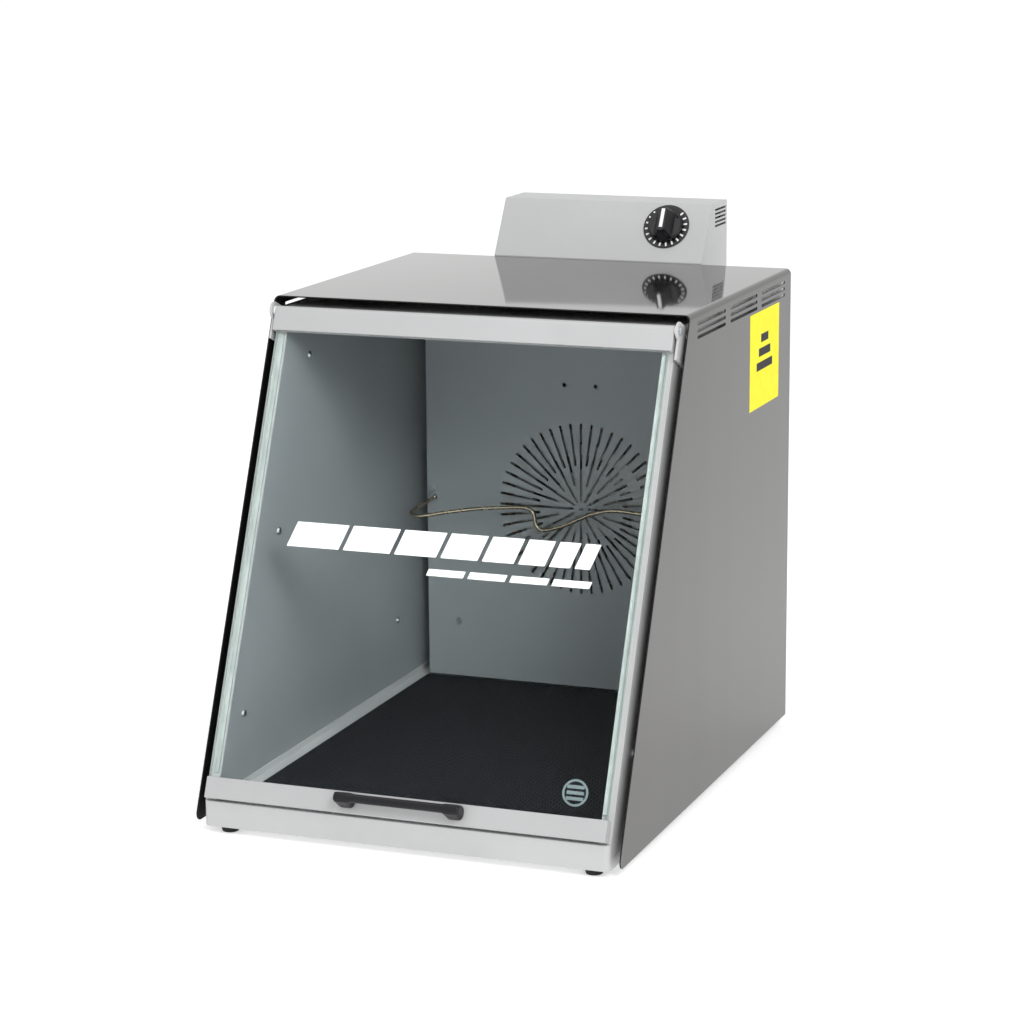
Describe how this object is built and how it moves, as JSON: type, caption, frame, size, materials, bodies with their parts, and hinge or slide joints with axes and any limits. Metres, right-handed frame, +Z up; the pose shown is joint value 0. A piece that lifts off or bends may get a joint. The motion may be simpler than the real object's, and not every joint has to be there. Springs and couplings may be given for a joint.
{
  "type": "ski boot hot-air dryer cabinet",
  "caption": "Bench-top hot-air cabinet for ski boots: a steel hood over an insulated chamber with a slanted top-hung glass door, a fan and heater behind a slotted baffle, and a dial console.",
  "frame": {"origin": "on the bench under the middle of the bounding box, at the level of the feet", "axes": "+Z up, -Y towards the glass door, +X to the right of a person facing the door"},
  "size_m": [0.46, 0.7065, 0.588],
  "materials": {
    "graphite_paint": "metallic graphite powder coat, glossy",
    "light_grey_paint": "light grey satin paint",
    "rail_grey": "light grey satin paint on aluminium rails",
    "chamber_grey": "mid grey satin paint",
    "bare_steel": "zinc-plated or bare steel",
    "cast_bracket": "die-cast aluminium",
    "insulation": "mineral wool board",
    "sensor_brass": "drawn brass-coloured tube",
    "copper_winding": "enamelled copper wire under tape",
    "heater_sheath": "oxidised steel sheath",
    "black_rubber": "matt black rubber",
    "mat_rubber": "black woven silicone mat",
    "black_plastic": "black moulded plastic",
    "white_plastic": "white moulded plastic",
    "phenolic": "brown phenolic moulding",
    "lead_sleeve": "glass-fibre sleeved leads",
    "seal_silicone": "translucent grey silicone",
    "door_glass": "clear toughened glass"
  },
  "bodies": {
    "cabinet": {"outer_hood": "graphite_paint", "hood_spacers": "bare_steel", "side_panel_left": "light_grey_paint", "side_panel_right": "light_grey_paint", "roof_panel": "light_grey_paint", "base_pan": "light_grey_paint", "rear_panel": "bare_steel", "liner_left": "chamber_grey", "liner_right": "chamber_grey", "liner_roof": "chamber_grey", "liner_rear": "chamber_grey", "chamber_floor": "chamber_grey", "floor_mat": "mat_rubber", "floor_rails": "light_grey_paint", "side_insulation": "insulation", "roof_insulation": "insulation", "floor_insulation": "insulation", "rear_insulation": "insulation", "air_baffle": "chamber_grey", "baffle_standoffs": "bare_steel", "baffle_screws": "bare_steel", "wall_screws": "bare_steel", "sensor_tube": "sensor_brass", "sensor_gland": "bare_steel", "heating_element": "heater_sheath", "heater_flange": "bare_steel", "motor_core": "bare_steel", "motor_winding": "copper_winding", "front_bearing_bracket": "cast_bracket", "rear_bearing_bracket": "cast_bracket", "motor_bolts": "bare_steel", "rear_housing": "light_grey_paint", "rear_cover": "light_grey_paint", "housing_screws": "bare_steel", "thermostat": "phenolic", "dial_plate": "black_plastic", "terminal_block": "white_plastic", "mains_inlet": "black_plastic", "internal_leads": "lead_sleeve", "rubber_feet": "black_rubber", "foot_screws": "bare_steel", "hinge_bracket_left": "light_grey_paint", "hinge_bracket_right": "light_grey_paint", "bracket_screws": "bare_steel", "door_seal": "seal_silicone"},
    "door": {"door_glass": "door_glass", "door_top_rail": "rail_grey", "door_bottom_rail": "rail_grey", "door_handle": "black_plastic", "handle_screws": "bare_steel", "pivot_pins": "bare_steel", "friction_washers": "white_plastic"},
    "fan": {"impeller": "cast_bracket", "hub_nut": "bare_steel", "motor_shaft": "bare_steel", "motor_rotor": "cast_bracket", "cooling_fan": "black_plastic"},
    "dial": {"knob": "black_plastic", "knob_pointer": "white_plastic", "thermostat_shaft": "bare_steel"}
  },
  "joints": [
    {"name": "door_hinge", "type": "hinge", "parent": "cabinet", "child": "door", "pos_m": [0, -0.1328, 0.51163], "axis": [-1, 0, 0], "range_deg": [0, 95]},
    {"name": "knob_turn", "type": "hinge", "parent": "cabinet", "child": "dial", "pos_m": [0.076, 0.27701, 0.563], "axis": [0, 0.8526, -0.5226], "range_deg": [0, 270]},
    {"name": "fan_spin", "type": "hinge", "parent": "cabinet", "child": "fan", "pos_m": [0, 0.25233, 0.245], "axis": [0, 1, 0], "continuous": true}
  ]
}
